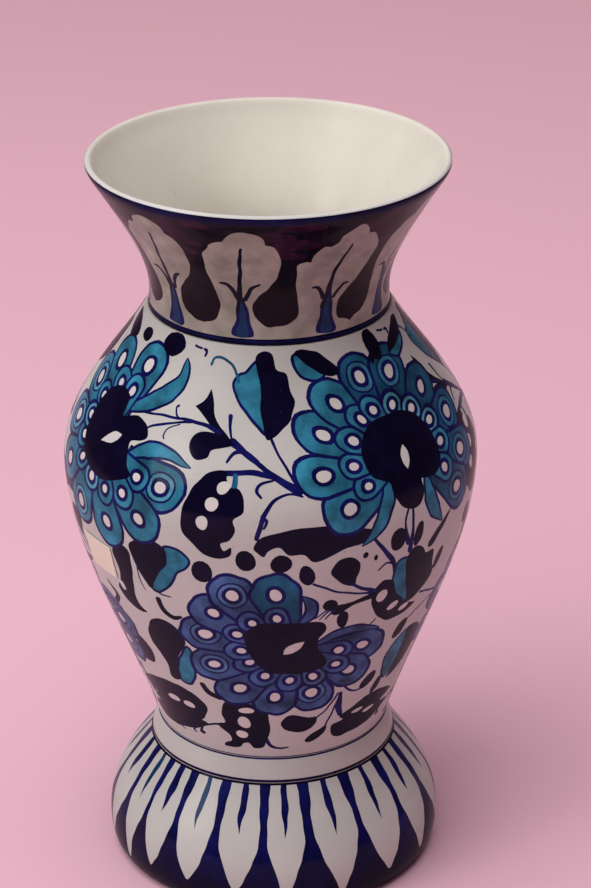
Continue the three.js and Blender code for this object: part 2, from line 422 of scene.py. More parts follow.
# ---- belly layout ---------------------------------------------------------------------
def upper_spray(w):
    """Stems, lily bud, two-tone leaf and pod between two upper flowers."""
    # two-tone leaf and its stem
    w.line([(7.5, 178), (3, 187), (0, 194)], [1.0, 0.9, 0.9])
    leaf(w,
         [(-0.5, 194), (-5, 197.5), (-10, 203), (-13.5, 209), (-12, 213), (-9, 214), (-6.5, 217),
          (-3, 217.5), (-1, 212), (-1.5, 202)],
         [(-1, 193), (-3, 202), (-3, 210), (-6, 217.5), (-3.5, 220.5), (1.5, 220.3), (3, 215),
          (6.8, 213.5), (8, 208), (9.3, 204), (7.5, 198.5), (4.5, 195.5), (1, 192.8)])
    # lily bud on the main stem
    w.line([(8, 175.5), (2, 180), (-5, 186), (-11, 191)], [3.4, 1.8, 1.7, 3.0])
    w.blot([(-10, 190), (-10, 190), (-16, 192.5), (-19.5, 195.5), (-22.5, 198.5), (-26.5, 200.8),
            (-26.5, 200.8), (-23.5, 203), (-22, 207.5), (-22, 207.5), (-19.8, 203.5), (-18, 198.5),
            (-13.5, 193.5)])
    w.blot([(-11, 190.5), (-14, 189), (-17.5, 187.5), (-18.5, 185), (-21.5, 184), (-24.5, 187),
            (-24.8, 190.5), (-22, 193), (-17, 193.5)])
    w.line([(-11.5, 192), (-12.8, 196), (-13, 199.5)], [0.7, 0.9, 1.6])
    # stems towards the flower on the left
    w.line([(-16, 194), (-22, 195.5), (-34, 196), (-44, 194.5), (-52, 193)],
           [1.8, 1.3, 0.9, 0.8, 0.5])
    w.line([(-26, 195.5), (-34, 193.8), (-40, 191), (-42.5, 188.5)], [0.9, 0.9, 0.8, 0.5])
    w.line([(-30, 195.8), (-32.2, 197), (-33.3, 199.2), (-32.5, 200)], [0.6, 0.7, 0.7, 0.8])
    w.line([(-30, 194), (-33.5, 192), (-34.5, 189.5), (-34, 188.3)], [0.5, 0.6, 0.6, 0.5])
    # hooks on the stems
    w.line([(-3, 185), (-6.5, 187.8), (-10.5, 187.5), (-12.3, 184.3)], [0.8, 1.5, 1.3, 0.8])
    w.line([(8, 175), (1, 180), (-6, 181.8), (-14, 180.5)], [2.6, 1.7, 1.9, 1.6])
    w.line([(1, 178.8), (-2.2, 178.2), (-3.3, 175.8), (-2.2, 173.6)], [0.7, 1.2, 1.2, 0.9])
    w.line([(9, 173.8), (4.5, 174.6), (0.5, 172), (-2, 166), (-3.3, 160)],
           [0.7, 0.9, 1.2, 1.8, 1.6])
    w.line([(-2, 168), (-0.6, 166.2), (-1.6, 163.5)], [0.6, 1.3, 0.7])
    # curl and ticks under the neck
    w.line([(-11.5, 210.5), (-14.5, 215), (-18.5, 217.6), (-22.8, 217.5), (-24.3, 215.3)],
           [0.9, 0.9, 0.9, 0.9, 1.0], "teal")
    w.line([(-34, 220.3), (-31, 219.8)], [0.8, 0.8])
    w.line([(-29.5, 219.5), (-28, 219), (-28.3, 217.6)], [0.9, 1.2, 0.8])
    # pod with three eggs
    w.line([(-9.6, 180.5), (-9.6, 176)], [1.8, 1.8], "teal")
    pod(w,
        [(-12.5, 181.5), (-17, 180.6), (-20.5, 177), (-22.5, 173), (-24, 166), (-23.5, 160),
         (-20.5, 156), (-17.5, 152.5), (-13.5, 152), (-10.5, 153.5), (-10, 156.8), (-12.2, 155.2),
         (-13, 157.5), (-10.5, 159), (-9.2, 162.5), (-9.6, 166), (-7, 168.5), (-6.6, 173),
         (-8.3, 176.2), (-10.5, 176.5), (-12, 179)],
        [(-12.6, 176.3, 2.5, 1.9, 40), (-15.6, 170.8, 2.3, 2.3, 30), (-17.9, 164.3, 2.0, 2.5, 0)])
    # long dark leaf
    w.blot([(-4.2, 157), (-2, 160.5), (3, 162.6), (10, 163.4), (18, 162.8), (26, 160.5),
            (31, 157.5), (26, 155), (21, 154.4), (17, 152.3), (12, 151), (9, 153.8), (5, 154),
            (2.5, 156.8), (-0.5, 155.5), (-1.5, 153.5), (-3, 155)])


def ripe_buds(w):
    """Buds and leaves that stand on a ripe upper flower, up to the neck ring."""
    w.spot((7.6, 217.2), 3.3, 5.6, 4)
    w.line([(4, 212), (5.5, 216), (7, 220)], [1.2, 2.4, 1.6], "navy")
    leaf(w, [(-31, 219.5), (-31.5, 216), (-29, 212.5), (-24, 210.3), (-19, 212), (-22, 216)],
         [(-31, 219.8), (-27, 220.8), (-21, 219.6), (-16, 216), (-13, 212.5), (-17, 210.8),
          (-21, 212.3), (-26, 215.5)])
    leaf(w, [(15, 211.5), (19, 209.5), (26, 211.5), (31, 215), (25, 214.5), (19, 213)],
         [(14.5, 212), (18, 215.5), (25, 219), (33, 221), (36, 220), (31, 215.5), (24, 213.6),
          (18, 212.4)])


def open_buds(w):
    """Buds that stand on an open upper flower."""
    w.spot((9.6, 218.5), 4.9, 4.0)
    w.spot((-10, 217), 3.0, 2.4)
    w.blot([(-17.5, 214.5), (-20, 217.5), (-26, 219.5), (-33, 220.5), (-31, 215), (-25, 212),
            (-20, 212.5)])


def lower_buds(w):
    """Round buds on a lower flower, and the loose ones beside it."""
    w.spot((-26, 146), 3.7, 4.1)
    w.spot((-13.8, 152), 3.4, 3.8)
    w.spot((-4.4, 150.6), 3.5, 3.5)
    w.spot((2.6, 145.8), 2.5, 4.3, 12)
    w.line([(4.5, 142), (11, 138), (19, 134.8), (24, 133)], [0.9, 0.8, 0.9, 1.2])
    w.blot([(16.5, 138.8), (12, 141.5), (9, 146), (11, 150), (14.5, 150.5), (17.5, 148),
            (17.8, 145), (16.8, 142)])
    w.line([(15.5, 140), (19, 137), (23.5, 134)], [0.9, 1.3, 1.8])
    # trefoil bud
    w.line([(24, 132.6), (17, 131.2), (12, 129.5)], [2.4, 1.9, 4.6], "navy")
    w.spot((9.8, 132.2), 2.6, 2.5)
    w.spot((14.3, 124.5), 2.1, 4.0, 6)
    for path in ([(9, 130), (5.5, 127)], [(11, 129.5), (8.5, 126)], [(10, 130), (6.8, 126.3)]):
        w.line(path, [0.8, 0.5])


def right_spray(w):
    """Stems, pod and leaves between two lower flowers, under the drop of an upper flower."""
    # stems and buds that hang from the upper flower
    w.line([(-14, 166), (-15.5, 158), (-14, 150)], [1.0, 0.9, 2.2])
    w.line([(-13.5, 164), (-12.5, 156), (-13.2, 147)], [0.9, 1.2, 2.4])
    w.spot((-17.6, 152.7), 3.4, 4.2)
    w.spot((-10.2, 152), 2.0, 4.6, -16)
    w.line([(-26, 156), (-22.5, 151), (-19, 145.5), (-17.5, 140)], [1.1, 1.3, 1.9, 1.6])
    w.spot((-28, 150.4), 1.0, 1.2, -30)
    w.spot((-24.6, 148.4), 0.8, 1.2)
    w.line([(-18.5, 143.6), (-21, 145), (-23.2, 143)], [0.8, 0.9, 0.7])
    # big two-tone leaf
    leaf(w,
         [(-17, 143.5), (-17.6, 137), (-16, 130.5), (-12.5, 126.5), (-9, 123.8), (-11, 131),
          (-12.5, 138), (-13.5, 144)],
         [(-13.8, 144.5), (-11, 147.5), (-7.5, 145.5), (-5.5, 142.5), (-2, 142), (-1.5, 136.5),
          (0.5, 131), (-3.5, 126), (-9, 123.3), (-11.2, 130), (-13, 138)])
    w.spot((1.5, 137), 1.9, 4.4, -20)
    w.line([(-4, 146), (0, 150.5), (3.5, 154)], [3.8, 3.2, 1.0], "navy")
    w.line([(-3, 125), (6, 121), (16, 118)], [0.9, 1.0, 0.7])
    # pod that the stems of the trefoil come from
    pod(w,
        [(-23.8, 134.5), (-21, 137.8), (-17.2, 136.5), (-15.7, 131.5), (-13, 127), (-8.5, 123),
         (-4.5, 121.5), (-9, 118.5), (-15, 118), (-19.5, 121), (-22.5, 126), (-24, 130)],
        [(-20.5, 131, 2.1, 2.6, -10), (-15.2, 124.4, 2.5, 1.4, 25), (-9.8, 121.6, 2.3, 1.2, 20)])
    w.line([(-21, 121), (-23.5, 118), (-24.5, 114)], [0.7, 0.8, 0.5])
    # buds and the oval leaf below
    w.spot((-7.5, 110.5), 2.6, 4.4, -25)
    w.line([(-5, 114), (0, 117), (8, 119)], [0.8, 0.8, 0.5])
    leaf(w, [(-9.5, 98), (-7, 104), (-2, 107.5), (-1, 100), (-1, 92), (-5, 86.5), (-8.5, 91)],
         [(-2, 108), (3.5, 108), (8.5, 103), (9, 95), (5, 88), (-3, 84.8), (-1, 92), (-1, 101)])
    w.line([(-26, 90.5), (-23.5, 87.5), (-19, 85.5), (-16, 87)], [0.9, 0.9, 1.0, 1.2])
    w.spot((-15, 89), 2.4, 4.2, -30)
    w.spot((-8.5, 84.5), 1.7, 4.2, -12)


def foot_spray(w):
    """Stems, buds and the split leaf low on the belly, under a lower flower."""
    w.line([(19, 87), (15.5, 80), (11.5, 76.5)], [0.9, 0.8, 0.9])
    w.blot([(11.5, 77), (7, 77), (2, 79), (-1.5, 78.4), (-3.5, 75.5), (-1.5, 72), (3, 70),
            (8.5, 70.5), (11, 73)])
    w.line([(20, 87), (18.5, 78), (16.5, 71)], [0.9, 0.8, 0.9])
    w.blot([(16.6, 71.5), (13, 69.5), (9.5, 67.5), (8, 65), (11, 64), (15, 65.8), (17, 68.5)])
    w.line([(20.5, 87), (20.5, 80.5), (23, 75)], [1.0, 2.4, 2.0])
    pod(w,
        [(23, 74), (29, 77.5), (36, 80.5), (46, 79.5), (54, 76.5), (48, 73), (55, 71), (47, 66.5),
         (36, 64), (24, 63.7), (20, 66.5), (20, 70.5), (25, 72)],
        [(32, 74.3, 2.5, 0.9, 12), (39.5, 72, 3.0, 0.9, 8)])
    # pod with three eggs and its curls, under the flower
    w.line([(-30, 72), (-35, 71.3), (-39.5, 69.3), (-41.5, 66.5)], [1.2, 0.9, 0.9, 1.1])
    w.spot((-41, 65.6), 1.2, 0.9)
    w.line([(-10.5, 68), (-8.5, 64), (-4.5, 62), (0, 62.8)], [1.6, 1.2, 1.0, 0.6])
    pod(w,
        [(-28, 82), (-25, 85.5), (-19, 85.5), (-13, 84.5), (-9.5, 82.5), (-8.5, 77), (-8.3, 70),
         (-10, 66.5), (-11, 63), (-15.5, 62.4), (-18, 64.5), (-20.5, 64), (-23, 61.8), (-30, 61.6),
         (-29.5, 63.5), (-26.6, 64.8), (-27, 68), (-31.5, 72), (-27.5, 74), (-28.5, 78)],
        [(-17.5, 81.4, 2.9, 1.5, 0), (-19.3, 75.2, 2.2, 2.9, 10), (-20.8, 68.8, 2.2, 1.9, 0)])


def left_spray(w):
    """Leaves and pods on the other side of a lower flower."""
    leaf(w,
         [(8, 153), (12.5, 153), (15.5, 149.8), (14, 146), (11, 143.5), (9.5, 139), (5, 134),
          (1.8, 134.5), (4.5, 141), (8, 147)],
         [(-4, 150), (1, 153.5), (7.5, 153), (8.5, 147.5), (4.5, 140.5), (1.5, 134), (-1.5, 139),
          (-3.5, 145)])
    w.line([(3, 134), (5, 132.6), (8, 132.5)], [1.0, 0.8, 0.5])
    pod(w,
        [(-4.5, 146.5), (-8.5, 148), (-12, 144), (-11, 138), (-11.5, 132), (-14, 128), (-12, 123.5),
         (-8, 121), (-3.5, 121.5), (-6, 124.5), (-5.8, 132), (-4.8, 139)],
        [(-11.5, 129.5, 1.3, 2.0, 20)])
    w.line([(-2, 143), (-2.6, 137), (-1, 132)], [0.6, 0.6, 0.4])
    w.line([(3, 130), (3.8, 125.5), (7, 123), (10, 124.3)], [2.0, 2.6, 2.2, 1.0], "navy")
    leaf(w, [(9, 110), (5.5, 104.5), (2.5, 98), (1.5, 91), (5, 90), (8, 93.5), (10, 99), (11, 105)],
         [(7.5, 118), (2, 120.4), (-3, 118), (-5.8, 112.5), (-6.5, 106.5), (-4, 101), (-2.8, 96),
          (-3, 90.8), (1.2, 90.8), (2.5, 98), (5, 105), (8.8, 111.5)])
    w.line([(11, 92), (13, 88.5), (17, 86.6), (20, 87.5)], [2.0, 2.6, 2.6, 1.0], "navy")
    pod(w,
        [(10, 81), (5, 85.4), (-4, 87.4), (-14, 86), (-26, 82), (-29, 79), (-22, 76), (-14, 72.3),
         (-5, 70), (4, 71.5), (9, 76)], [(1, 78.6, 2.6, 1.5, 0), (-7.5, 78.6, 3.0, 1.5, 0)])
    w.blot([(-9, 98), (-11, 104), (-18, 108.5), (-25, 109), (-29, 104), (-26, 98), (-19, 94),
            (-12, 93.6)])
    w.spot((-20, 101), 2.8, 1.6, 10, "white")
    w.line([(-20, 118), (-17, 122), (-21, 127)], [2.4, 2.2, 0.8], "navy")
    w.line([(0, 66.5), (-1.2, 65), (0.5, 64.2)], [0.9, 1.1, 0.6])
    w.line([(-8, 66), (-9.5, 64.3), (-8, 63.3)], [0.8, 1.0, 0.5])


def paint_belly(wall):
    """Four upper and four lower flowers, about a quarter turn apart."""
    upper = [(42, 181, RIPE_FLOWER), (133, 180, OPEN_FLOWER), (222, 182, RIPE_FLOWER),
             (-55, 182, OPEN_FLOWER)]
    lower = [(7.5, 113), (98, 112), (187, 114), (276, 113)]
    wall.band(wall.low - 5, wall.low + 0.35, "cobalt")
    for turn, _, _ in upper:
        upper_spray(wall.turned_by(turn - upper[0][0]))
    for turn, _ in lower:
        foot_spray(wall.turned_by(turn))
    for turn in (-37.5, 142):
        left_spray(wall.turned_by(turn))
    for turn in (54.5, 234):
        right_spray(wall.turned_by(turn))
    for turn, height in lower:
        big_flower(wall, (turn, height), LOW_FLOWER)
        lower_buds(wall.turned_by(turn))
    for turn, height, flower in upper:
        big_flower(wall, (turn, height), flower)
        (ripe_buds if flower is RIPE_FLOWER else open_buds)(wall.turned_by(turn))


# ---- neck, foot and lines -------------------------------------------------------------
# Leaves of the neck: edge and midrib, in (degrees, millimetres up the wall), and two curls.
ROUND_LEAF = {
    "edge": [(-20, 226), (-15.5, 227.4), (-12, 229.6), (-10.6, 233.5), (-11.2, 237), (-12.6, 243),
             (-13.2, 250), (-13, 254.5), (-13, 254.5), (-12.4, 257.5), (-9.5, 260.4), (-9, 261.5),
             (-9, 261.5), (-6.5, 263.5), (-3.6, 264.2), (-3.6, 264.2), (-1.5, 267.6), (2.5, 269.4),
             (7, 268.6), (10.2, 266), (10.8, 263.2), (10.8, 263.2), (13.5, 262), (15.4, 258.5),
             (16.2, 254.5), (15.6, 248), (12.5, 243.2), (8.4, 239.4), (5.4, 236.2), (4.4, 233),
             (6, 229.6), (11, 227), (17, 226), (17, 224), (-20, 224)],
    "midrib": [(-1, 233), (-0.6, 240), (0.2, 248), (1.4, 255), (2.5, 261)],
    "curls": [[(-2, 237.5), (-3.2, 240.6), (-5.6, 243), (-8.6, 243.2)],
              [(1.6, 237), (3, 239.6), (5, 242.2), (7.8, 243.6)]],
}
LEANING_LEAF = {
    "edge": [(-28, 226.3), (-20, 227.4), (-15.6, 229.4), (-14.2, 233), (-15.2, 238), (-16.4, 244),
             (-17, 250), (-16.6, 252.6), (-14, 253.8), (-11.8, 253.6), (-11.8, 253.6),
             (-10.6, 257.6), (-8, 260.4), (-5.6, 260.2), (-5.6, 260.2), (-3.2, 262), (-1.8, 265),
             (1, 267.2), (3.6, 268.8), (6.4, 267), (8.4, 263.2), (8.4, 263.2), (11.4, 262.8),
             (14, 259.6), (16, 256), (16.2, 251), (14.6, 246), (12.4, 241.6), (8.6, 237.4),
             (5.4, 234), (4.4, 230.5), (6, 227.4), (11, 226), (11, 224), (-28, 224)],
    "midrib": [(-1.6, 233), (-1.4, 240), (-0.2, 248), (1.6, 254.6), (3, 259.4)],
    "curls": [[(-3.4, 236.4), (-5, 239), (-6.8, 240.8), (-9, 241.2)],
              [(2.4, 236), (4.2, 238.6), (6.4, 240.4), (8.4, 240.4)]],
}


def neck_leaf(wall, drawn):
    """Scalloped leaf on the dark neck, in a grey that is partly a grey wash and partly painted
    shade under the flared mouth, with a deep teal trunk, a midrib and two curls.
    """
    wall.blot(drawn["edge"], "shaded stone")
    wall.blot([(-5.6, 223.5), (-3.8, 229), (-3.2, 234), (-1.6, 238.5), (-0.4, 242), (0.6, 238.5),
               (2, 234), (2.8, 229), (4.6, 223.5)], "cobalt")
    wall.line(drawn["midrib"], [3.2, 1.7, 1.3, 1.2, 0.9], "navy")
    wall.blot([(-3.3, 223.5), (-2.1, 229), (-1.5, 233.5), (-0.6, 236.5), (0.3, 233.5), (1.1, 229),
               (2.1, 223.5)], "deep teal")
    for curl in drawn["curls"]:
        wall.line(curl, [1.5, 1.5, 1.4, 0.9], "navy")


def paint_neck(wall):
    """Dark band with plum strokes of painted pink reflection under the lip, ten leaves in a grey
    that is partly painted shade, a deep cobalt line and the white lip.
    """
    leaves = [-48, -11.5, 28, 63, 99, 135, 170, 206, 241, 277]
    # Grey ground of the leaves: partly a grey wash, partly painted shade under the flared mouth
    wall.band(wall.low - 5, wall.low + 2.6, "shaded stone")
    wall.band(wall.low + 2.5, wall.high + 5, "night")
    # Plum strokes under the lip: painted reflection of the pink floor in the glossy glaze
    for turn in leaves:
        for side, up in ((-24, 257), (-19, 262), (-26, 266.5), (-17, 271)):
            reach = wall.hand.uniform(6, 10)
            brush = [(side - reach, up), (side, up + 0.8), (side + reach, up - 0.4)]
            wall.turned_by(turn).line(brush, [2.6, 5.6, 2.6], "pink reflection")
    for i, turn in enumerate(leaves):
        neck_leaf(wall.turned_by(turn), LEANING_LEAF if i % 3 == 2 else ROUND_LEAF)
    wall.band(wall.high - 4.0, wall.high - 1.3, "cobalt", 0.45)
    wall.band(wall.high - 1.3, wall.high + 5, "white")


def paint_foot(wall):
    """Twenty ivory tongues on cobalt that deepens to navy below, each with a slim vein."""
    wall.band(-20, 60, "cobalt", 1.0, ((0, 36), (0, 9), 1.0, 0.22))
    gaps = [-67, -53.5, -38, -21, -3, 13.5, 34, 55, 73] + [73 + 220 / 12 * i for i in range(1, 13)]
    for left, right in zip(gaps[:-1], gaps[1:]):
        tongue(wall, left, right)
    wall.band(wall.high - 0.8, wall.high + 5, "navy")


def paint_collar(wall):
    """Plain ivory band between a deep cobalt line below and a thinner cobalt line above."""
    wall.band(wall.low - 5, wall.low + 0.9, "cobalt", 0.5)
    wall.band(wall.high - 0.6, wall.high + 5, "cobalt")


def paint_ring(wall):
    """Cobalt slip ring."""
    wall.band(wall.low - 5, wall.high + 5, "cobalt", 0.8)


def tongue(wall, left, right):
    """Ivory tongue between two gaps, full at the middle and pointed below, with a vein."""
    hand = wall.hand
    mid, half = (left + right) / 2, (right - left) / 2
    top, tip = 49, 8.6 + hand.uniform(-2, 2.5)
    lean = hand.uniform(-0.8, 0.8)
    shape = [(-0.7, top), (-0.78, 41), (-0.84, 34), (-0.8, 28), (-0.64, 22), (-0.36, 15.5),
             (-0.12, tip + 1), (0, tip), (0.12, tip + 1), (0.38, 15.5), (0.64, 22), (0.82, 28),
             (0.84, 34), (0.76, 41), (0.7, top)]
    shape = shape[:1] * 2 + shape[1:-1] + shape[-1:] * 2
    wall.blot([(mid + half * t + lean * (top - h) / 25, h) for t, h in shape], "ivory")
    low = 30 + hand.uniform(-2.5, 2)
    width = hand.uniform(1.2, 1.9)
    wall.blot([(mid - 0.7 * width, top + 1), (mid - width, 41),
               (mid - 0.85 * width + lean * 0.6, 36.5), (mid + lean, low), (mid + lean, low),
               (mid + 0.7 * width + lean * 0.6, 36.5), (mid + width, 41),
               (mid + 0.6 * width, top + 1)],
              "deep teal" if hand.random() < 0.3 else "cobalt")


# ---- skins and shells -----------------------------------------------------------------
def fired(paint, tone=1.0):
    """A paint as linear red, green and blue, with its wash in the fourth place."""
    colour, wash = PAINTS[paint]
    c = np.array(colour) / 255
    return np.append(np.where(c > 0.04045, ((c + 0.055) / 1.055) ** 2.4, c / 12.92) * tone, wash)


def within(points, edge):
    """Which points lie in a closed outline, by its winding number."""
    turns = np.zeros(len(points), int)
    x, y = points[:, 0], points[:, 1]
    for (ax, ay), (bx, by) in zip(edge, np.roll(edge, -1, axis=0)):
        if ay == by:
            continue
        left = (bx - ax) * (y - ay) - (x - ax) * (by - ay)
        turns += (ay <= y) & (by > y) & (left > 0)
        turns -= (by <= y) & (ay > y) & (left < 0)
    return turns != 0


def painted_skin(wall):
    """The wall cut along every brush mark: places on it, triangles, and each corner's colour."""
    scale = math.radians(1) * wall.radius_at((wall.low + wall.high) / 2)
    left, right = -180 * scale, 180 * scale
    points, links = [], []

    def loop(outline):
        first = len(points)
        points.extend(map(tuple, outline))
        links.extend((first + i, first + (i + 1) % len(outline)) for i in range(len(outline)))

    areas = []
    for places, paint, tone, fade in wall.areas:
        for turn in (-360, 0, 360):
            edge = (places + [turn, 0]) * [scale, 1]
            if edge[:, 0].max() < left or edge[:, 0].min() > right:
                continue
            if fade:
                start, end = ((np.array(at) + [turn, 0]) * [scale, 1] for at in fade[:2])
            areas.append((edge, paint, tone, fade and (start, end, *fade[2:])))
            loop(np.clip(edge, [-1e9, wall.low + MARGIN], [1e9, wall.high - MARGIN]))
    across = np.linspace(left, right, SPOKES + 1)
    rows = int((wall.high - wall.low) / SKIN_STEP)
    upward = np.linspace(wall.low, wall.high, rows + 1)
    loop([(x, wall.low) for x in across] + [(right, y) for y in upward[1:-1]]
         + [(x, wall.high) for x in across[::-1]] + [(left, y) for y in upward[-2:0:-1]])
    columns = int((right - left) / SKIN_STEP)
    for row, y in enumerate(upward[1:-1]):
        shift = 0.25 if row % 2 else -0.25
        points.extend((left + (i + 0.5 + shift) * (right - left) / columns, y)
                      for i in range(columns))

    spots, _, faces, *_ = delaunay_2d_cdt(points, links, [], 0, 1e-4)
    spots = np.array([tuple(p) for p in spots])
    faces = np.array([tuple(f) for f in faces])
    centres = spots[faces].mean(axis=1)
    faces = faces[(centres[:, 0] > left) & (centres[:, 0] < right)]
    centres = spots[faces].mean(axis=1)

    colours = np.tile(fired("ivory"), (len(faces), 3, 1))
    order = np.argsort(centres[:, 0])
    sorted_x = centres[order, 0]
    for edge, paint, tone, fade in areas:
        low, high = edge.min(axis=0), edge.max(axis=0)
        near = order[np.searchsorted(sorted_x, low[0]):np.searchsorted(sorted_x, high[0])]
        near = near[(centres[near, 1] > low[1]) & (centres[near, 1] < high[1])]
        inside = near[within(centres[near], edge)]
        colours[inside] = fired(paint, tone)
        if fade:
            start, end, at_start, at_end = fade
            way = end - start
            along = np.clip((spots[faces[inside]] - start) @ way / (way @ way), 0, 1)
            colours[inside, :, :3] *= (at_start + (at_end - at_start) * along)[..., None]
    return spots / [scale, 1], faces, colours


def around(r, z, turns):
    """Places or directions of given radius and height, turned round the axis from -Y."""
    return np.column_stack((r * np.sin(turns), -r * np.cos(turns), z))


class Shell:
    """A closed shell of revolution, gathered stretch by stretch."""

    def __init__(self):
        self.points, self.faces, self.normals, self.colours, self.finish = [], [], [], [], []

    def add(self, points, normals, faces, colours, finish):
        """faces are rows of indices into points; colours are per corner."""
        first = len(self.points)
        self.points.extend(map(tuple, points))
        for face, tints in zip(faces, colours):
            self.faces.append([first + int(i) for i in face])
            self.normals.extend(tuple(normals[int(i)]) for i in face)
            self.colours.extend(map(tuple, tints))
            self.finish.append(finish)

    def lathe(self, places, normals, colour, finish=0):
        """A run of the outline turned round the axis."""
        turns = np.tile(np.arange(SPOKES) * 2 * math.pi / SPOKES - math.pi, len(places))
        on, out = (around(*np.repeat(run, SPOKES, axis=0).T, turns) for run in (places, normals))
        faces = [(row * SPOKES + i, row * SPOKES + (i + 1) % SPOKES,
                  (row + 1) * SPOKES + (i + 1) % SPOKES, (row + 1) * SPOKES + i)
                 for row in range(len(places) - 1) for i in range(SPOKES)]
        tint = [tuple(fired(colour))] * 4
        self.add(on, out, faces, [tint] * len(faces), finish)

    def paint(self, wall, places, normals):
        """The painted outside: wall's skin laid on the run of the outline."""
        height = wall.low + lengths(places)
        spots, faces, colours = painted_skin(wall)
        at, way = (np.column_stack([np.interp(spots[:, 1], height, run[:, k]) for k in (0, 1)])
                   for run in (places, normals))
        way /= np.linalg.norm(way, axis=1)[:, None]
        turns = np.radians(spots[:, 0])
        self.add(around(*at.T, turns), around(*way.T, turns), faces, colours, 0)

    def build(self, name, finishes):
        """The mesh object, welded where its stretches meet."""
        points = np.array(self.points)
        near = KDTree(len(points))
        for i, point in enumerate(points):
            near.insert(point, i)
        near.balance()
        welded = list(range(len(points)))
        for i, point in enumerate(points):
            welded[i] = min([i] + [welded[j] for _, j, _ in near.find_range(point, WELD) if j < i])
        faces, normals, colours, finish, corner = [], [], [], [], 0
        for face, slot in zip(self.faces, self.finish):
            kept, corners = [], []
            for i in face:
                w = welded[i]
                if w not in kept:
                    kept.append(w)
                    corners.append(corner)
                corner += 1
            if len(kept) < 3:
                continue
            faces.append(kept)
            normals.extend(self.normals[c] for c in corners)
            colours.extend(self.colours[c] for c in corners)
            finish.append(slot)
        used = sorted({i for face in faces for i in face})
        index = {old: new for new, old in enumerate(used)}
        mesh = bpy.data.meshes.new(name)
        mesh.from_pydata([tuple(points[i] * MM) for i in used], [],
                         [[index[i] for i in face] for face in faces])
        paint = mesh.color_attributes.new("paint", "FLOAT_COLOR", "CORNER")
        paint.data.foreach_set("color", np.array(colours, np.float32).ravel())
        mesh.polygons.foreach_set("material_index", finish)
        mesh.polygons.foreach_set("use_smooth", [True] * len(faces))
        for finish in finishes:
            mesh.materials.append(finish)
        mesh.normals_split_custom_set(normals)
        mesh.update()
        piece = bpy.data.objects.new(name, mesh)
        bpy.context.scene.collection.objects.link(piece)
        return piece


def lengths(places):
    """Length along a run of places, at each of them."""
    return np.concatenate([[0], np.cumsum(np.linalg.norm(np.diff(places, axis=0), axis=1))])


def place_piece(piece, node):
    """Ride the vase's only body, in place of a CAD node."""
    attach(piece, "root")
    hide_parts(node)


# ---- materials ------------------------------------------------------------------------
class Nodes:
    """A small helper that adds and links shader nodes."""

    def __init__(self, name):
        self.material = bpy.data.materials.new(name)
        self.material.use_nodes = True
        self.tree = self.material.node_tree
        self.shader = self.tree.nodes["Principled BSDF"]

    def add(self, kind, inputs=None, **settings):
        node = self.tree.nodes.new("ShaderNode" + kind)
        for name, value in settings.items():
            setattr(node, name, value)
        for socket, value in (inputs or {}).items():
            self.feed(node.inputs[socket], value)
        return node

    def feed(self, socket, value):
        if isinstance(value, bpy.types.NodeSocket):
            self.tree.links.new(value, socket)
        else:
            socket.default_value = value

    def shade(self, inputs):
        """Feed the surface shader's inputs, and hand over the material."""
        for socket, value in inputs.items():
            self.feed(self.shader.inputs[socket], value)
        return self.material

    def bump(self, height, strength, distance):
        return self.add("Bump", {"Strength": strength, "Distance": distance,
                                 "Height": height}).outputs[0]

    def noise(self, scale, detail=3.0, offset=0.0):
        place = self.add("TexCoord").outputs["Object"]
        if offset:
            place = self.add("Mapping", {"Vector": place, "Location": (offset,) * 3}).outputs[0]
        noise = self.add("TexNoise", {"Vector": place, "Scale": scale, "Detail": detail})
        return noise.outputs["Fac"]

    def ramp(self, value, low, high, to_low=0.0, to_high=1.0):
        return self.add("MapRange", {"Value": value, "From Min": low, "From Max": high,
                                     "To Min": to_low, "To Max": to_high}).outputs["Result"]

    def maths(self, kind, a, b):
        return self.add("Math", {0: a, 1: b}, operation=kind).outputs[0]

    def mix(self, kind, amount, a, b):
        node = self.add("Mix", {"Factor": amount, 6: a, 7: b}, data_type="RGBA", blend_type=kind)
        return node.outputs[2]


def glaze():
    """Clear glossy glaze over the painting, washed unevenly, with specks and a slow ripple."""
    n = Nodes("painted_glaze")
    paint = n.add("Attribute", attribute_name="paint")
    colour, brushed = paint.outputs["Color"], paint.outputs["Alpha"]
    pool = n.ramp(n.noise(160, 4), 0.3, 0.7, 0.62, 1.38)
    cloud = n.ramp(n.noise(45, 3, 3.0), 0.3, 0.7, 0.86, 1.12)
    wash = n.maths("MULTIPLY", pool, cloud)
    wash = n.maths("ADD", n.maths("MULTIPLY", n.maths("SUBTRACT", wash, 1.0), brushed), 1.0)
    tint = n.add("CombineColor", {0: wash, 1: wash, 2: wash}).outputs[0]
    colour = n.mix("MULTIPLY", 1.0, colour, tint)
    body = n.ramp(n.noise(30, 4, 7.0), 0.35, 0.65, 0.94, 1.03)
    tone = n.add("CombineColor", {0: body, 1: body, 2: n.maths("MULTIPLY", body, 0.985)}).outputs[0]
    colour = n.mix("MULTIPLY", 1.0, colour, tone)
    specks = n.ramp(n.noise(900, 2, 1.0), 0.72, 0.76, 0.0, 0.35)
    colour = n.mix("MIX", specks, colour, (0.05, 0.05, 0.09, 1.0))
    ripple = n.maths("ADD", n.noise(28, 2), n.maths("MULTIPLY", n.noise(420, 2), 0.05))
    bump = n.bump(ripple, 0.25, 1.2 * MM)
    return n.shade({"Base Color": colour, "Normal": bump, "Specular IOR Level": 0.02,
                    "Roughness": n.ramp(n.noise(60, 2, 5.0), 0.3, 0.7, 0.2, 0.3),
                    "Coat Weight": 0.2, "Coat Roughness": 0.09, "Coat Normal": bump})


